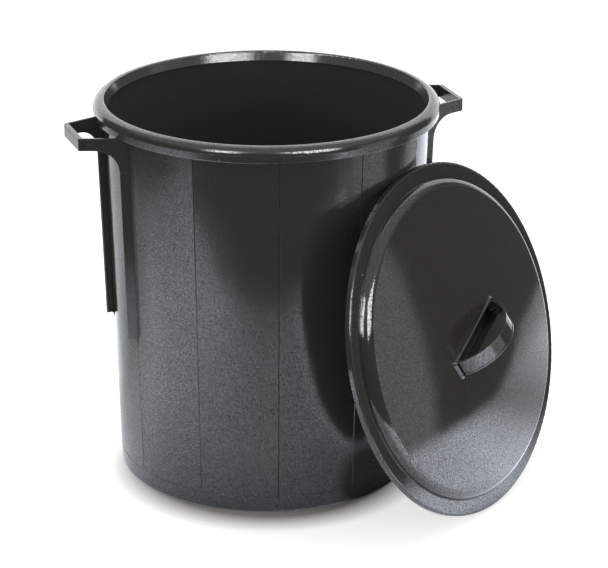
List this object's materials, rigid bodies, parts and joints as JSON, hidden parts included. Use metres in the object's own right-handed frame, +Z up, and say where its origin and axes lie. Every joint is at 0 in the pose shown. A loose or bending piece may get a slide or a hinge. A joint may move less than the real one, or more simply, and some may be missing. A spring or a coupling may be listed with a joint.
{
  "type": "plastic open head drum with loose lid",
  "caption": "Black moulded plastic open head drum with panelled tapered wall, rolled rim and side handles, its loose domed lid with a bow handle leaning against it.",
  "frame": {"origin": "middle of the drum's underside, on the drum's axis", "axes": "+Z up along the drum's axis, -Y towards the front, +X towards the side the lid leans on"},
  "size_m": [0.6301, 0.5422, 0.493],
  "materials": {
    "drum_plastic": "semi-gloss black moulded polyethylene with a fine grain",
    "lid_plastic": "semi-gloss black moulded polyethylene with a fine grain"
  },
  "bodies": {
    "drum": {"drum_wall": "drum_plastic", "drum_floor": "drum_plastic", "foot_ring": "drum_plastic", "mouth_band": "drum_plastic", "rim_crown": "drum_plastic", "rim_lip": "drum_plastic", "left_grip": "drum_plastic", "left_front_arm": "drum_plastic", "left_rear_arm": "drum_plastic", "left_front_fin": "drum_plastic", "left_rear_fin": "drum_plastic", "right_grip": "drum_plastic", "right_front_arm": "drum_plastic", "right_rear_arm": "drum_plastic", "right_front_fin": "drum_plastic", "right_rear_fin": "drum_plastic"},
    "lid": {"lid_lip": "lid_plastic", "lid_flange": "lid_plastic", "lid_shoulder": "lid_plastic", "lid_dome": "lid_plastic", "lid_pocket": "lid_plastic", "lid_bow_handle": "lid_plastic"}
  },
  "joints": [
    {"name": "lid_draws_away", "type": "slide", "parent": "drum", "child": "lid", "axis": [0.7812, -0.5593, 0.2773], "range_m": [0, 0.3]}
  ]
}
